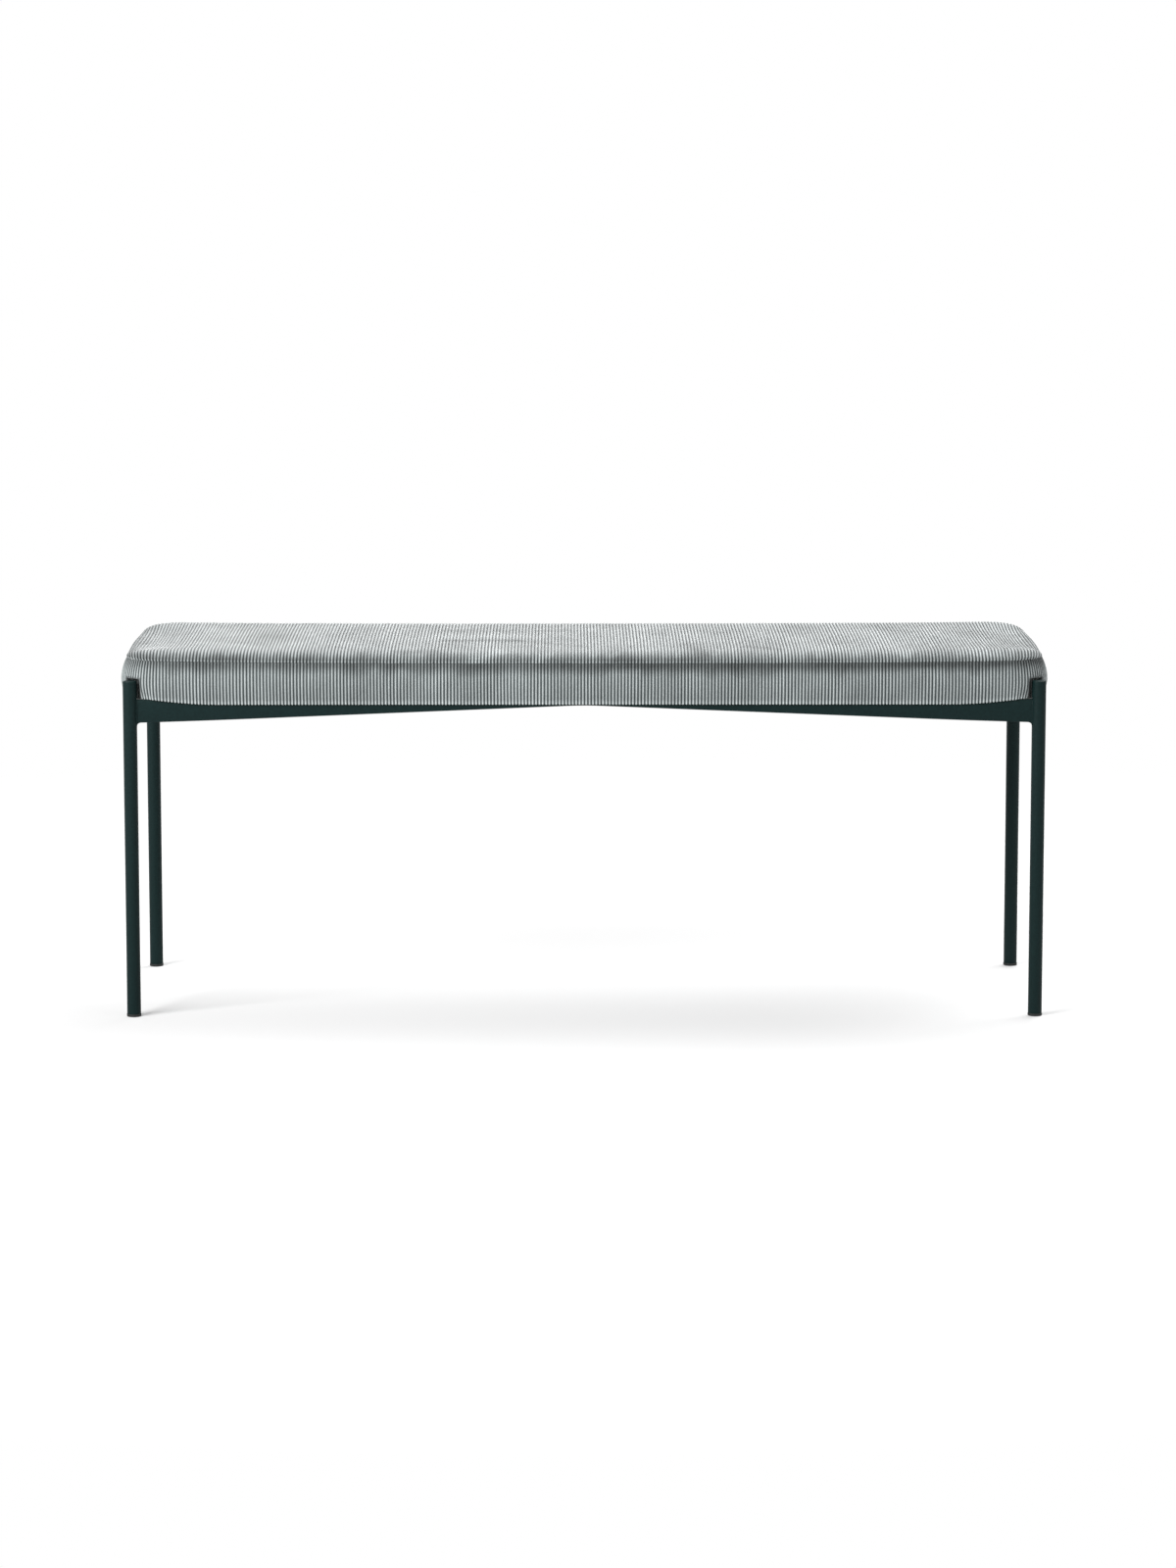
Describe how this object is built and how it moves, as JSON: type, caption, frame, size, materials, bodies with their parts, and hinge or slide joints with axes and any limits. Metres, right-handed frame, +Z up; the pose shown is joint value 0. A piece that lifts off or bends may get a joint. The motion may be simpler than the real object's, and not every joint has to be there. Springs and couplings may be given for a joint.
{
  "type": "upholstered bench",
  "caption": "Long low bench: a padded seat in ribbed corduroy set on a slim steel frame with round legs and rails that taper to the middle.",
  "frame": {"origin": "on the floor under the middle of the bench", "axes": "+X along the bench to the right as a person facing its front sees it, +Y from front to back, +Z up"},
  "size_m": [1.2008, 0.378, 0.4782],
  "materials": {
    "powder_coat": "satin powder coat, dark green-grey",
    "glide_plastic": "moulded nylon",
    "corduroy": "grey corduroy with a brushed cut pile",
    "foam": "cut polyurethane foam",
    "plywood": "unfinished birch plywood",
    "dust_cloth": "spunbonded black cloth",
    "zinc_steel": "bright zinc plate"
  },
  "bodies": {
    "root": {"leg_front_left": "powder_coat", "leg_cap_front_left": "powder_coat", "glide_front_left": "glide_plastic", "leg_front_right": "powder_coat", "leg_cap_front_right": "powder_coat", "glide_front_right": "glide_plastic", "leg_back_left": "powder_coat", "leg_cap_back_left": "powder_coat", "glide_back_left": "glide_plastic", "leg_back_right": "powder_coat", "leg_cap_back_right": "powder_coat", "glide_back_right": "glide_plastic", "rail_front": "powder_coat", "rail_back": "powder_coat", "rail_left": "powder_coat", "rail_right": "powder_coat", "bearer_1": "powder_coat", "bearer_2": "powder_coat", "bearer_3": "powder_coat", "seat_foam": "foam", "cover_top_panel": "corduroy", "cover_side_band": "corduroy", "seat_board": "plywood", "dust_cover": "dust_cloth", "screw_1": "zinc_steel", "washer_1": "zinc_steel", "t_nut_1": "zinc_steel", "screw_2": "zinc_steel", "washer_2": "zinc_steel", "t_nut_2": "zinc_steel", "screw_3": "zinc_steel", "washer_3": "zinc_steel", "t_nut_3": "zinc_steel", "screw_4": "zinc_steel", "washer_4": "zinc_steel", "t_nut_4": "zinc_steel", "screw_5": "zinc_steel", "washer_5": "zinc_steel", "t_nut_5": "zinc_steel", "screw_6": "zinc_steel", "washer_6": "zinc_steel", "t_nut_6": "zinc_steel"}
  },
  "joints": []
}
